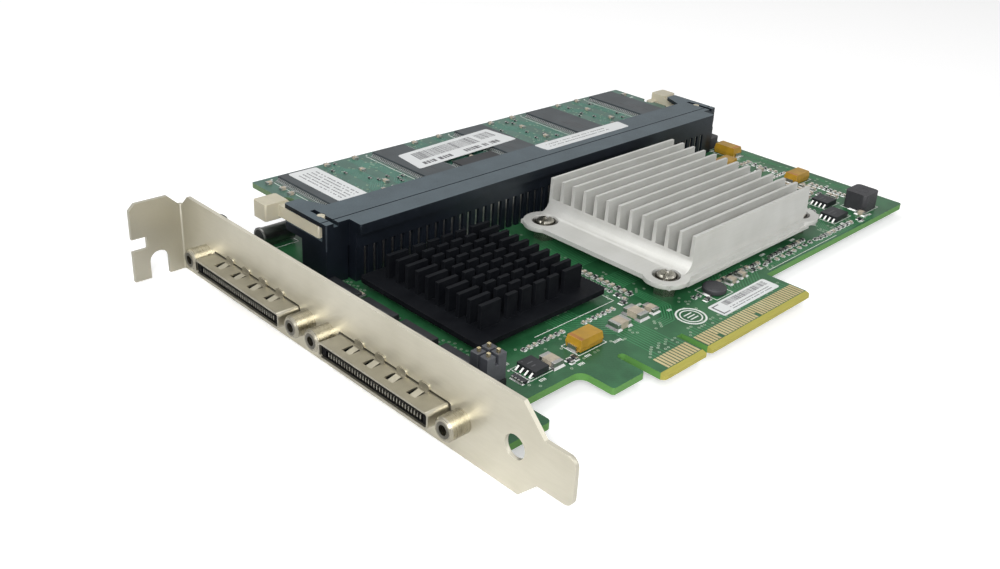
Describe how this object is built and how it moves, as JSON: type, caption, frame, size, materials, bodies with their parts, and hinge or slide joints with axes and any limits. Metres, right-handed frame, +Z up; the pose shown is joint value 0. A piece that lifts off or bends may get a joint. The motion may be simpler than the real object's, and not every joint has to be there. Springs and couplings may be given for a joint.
{
  "type": "raid controller card",
  "caption": "Full-height server storage controller card with external cable ports, raised memory module in a latched right-angle socket, and heat sinks.",
  "frame": {"origin": "centre of the lowest face of the whole card's box, with the card lying flat and its component side up", "axes": "+X from the mounting bracket along the card to its far end, +Y from the edge fingers to the top edge, +Z up out of the component side"},
  "size_m": [0.1796, 0.1214, 0.0184],
  "materials": {
    "board_green": "solder-mask gloss",
    "buzzer_black": "moulded, satin",
    "can_metal": "drawn, satin",
    "capacitor_tan": "fired ceramic",
    "chip_black": "moulded, matt",
    "contact_metal": "plated",
    "gold": "plated, satin",
    "header_black": "moulded",
    "inductor_grey": "pressed ferrite",
    "ivory": "moulded, satin",
    "jack_metal": "nickel-plated, turned",
    "module_green": "solder-mask gloss",
    "plated_steel": "tin-plated, satin",
    "port_black": "moulded, satin",
    "processor_black": "laminate and moulding",
    "resistor_dark": "glazed",
    "screw_metal": "plated",
    "shell_metal": "nickel-plated, satin",
    "shunt_grey": "moulded, satin",
    "sink_black": "black anodised",
    "sink_silver": "extruded, satin",
    "socket_black": "moulded, satin",
    "solder": "reflowed, bright",
    "tantalum_yellow": "moulded, satin",
    "thermal_pad": "soft, matt",
    "tinned_leads": "tinned"
  },
  "bodies": {
    "card": {"bus_controller_chip": "chip_black", "bus_controller_pad": "thermal_pad", "buzzer": "buzzer_black", "ceramic_capacitor_ends": "tinned_leads", "ceramic_capacitors": "capacitor_tan", "circuit_board": "board_green", "crystal_can": "can_metal", "edge_contacts_component_side": "gold", "edge_contacts_solder_side": "gold", "fin_heat_sink": "sink_silver", "heat_sink_screws": "screw_metal", "jack_posts": "jack_metal", "jumper_header": "header_black", "jumper_pins": "contact_metal", "jumper_shunts": "shunt_grey", "memory_capacitors": "capacitor_tan", "memory_chip_leads": "tinned_leads", "memory_chips": "chip_black", "memory_module_board": "module_green", "memory_socket": "socket_black", "memory_socket_tails": "tinned_leads", "mounting_bracket": "plated_steel", "pin_heat_sink": "sink_black", "port_a_contacts": "contact_metal", "port_a_insulator": "port_black", "port_a_shell": "shell_metal", "port_b_contacts": "contact_metal", "port_b_insulator": "port_black", "port_b_shell": "shell_metal", "power_inductors": "inductor_grey", "processor_chip": "processor_black", "processor_pad": "thermal_pad", "resistor_ends": "tinned_leads", "resistors": "resistor_dark", "round_inductor": "inductor_grey", "small_ic_leads": "tinned_leads", "small_ics": "chip_black", "solder_joints": "solder", "tantalum_capacitors": "tantalum_yellow", "tantalum_tabs": "tinned_leads"},
    "lever_left": {"ejector_lever_left": "ivory"},
    "lever_right": {"ejector_lever_right": "ivory"}
  },
  "joints": [
    {"name": "lever_left_turn", "type": "hinge", "parent": "card", "child": "lever_left", "pos_m": [-0.06037, 0.03038, 0.0156], "axis": [0, 0, 1], "range_deg": [0, 30]},
    {"name": "lever_right_turn", "type": "hinge", "parent": "card", "child": "lever_right", "pos_m": [0.07662, 0.03038, 0.0156], "axis": [0, 0, -1], "range_deg": [0, 30]}
  ]
}
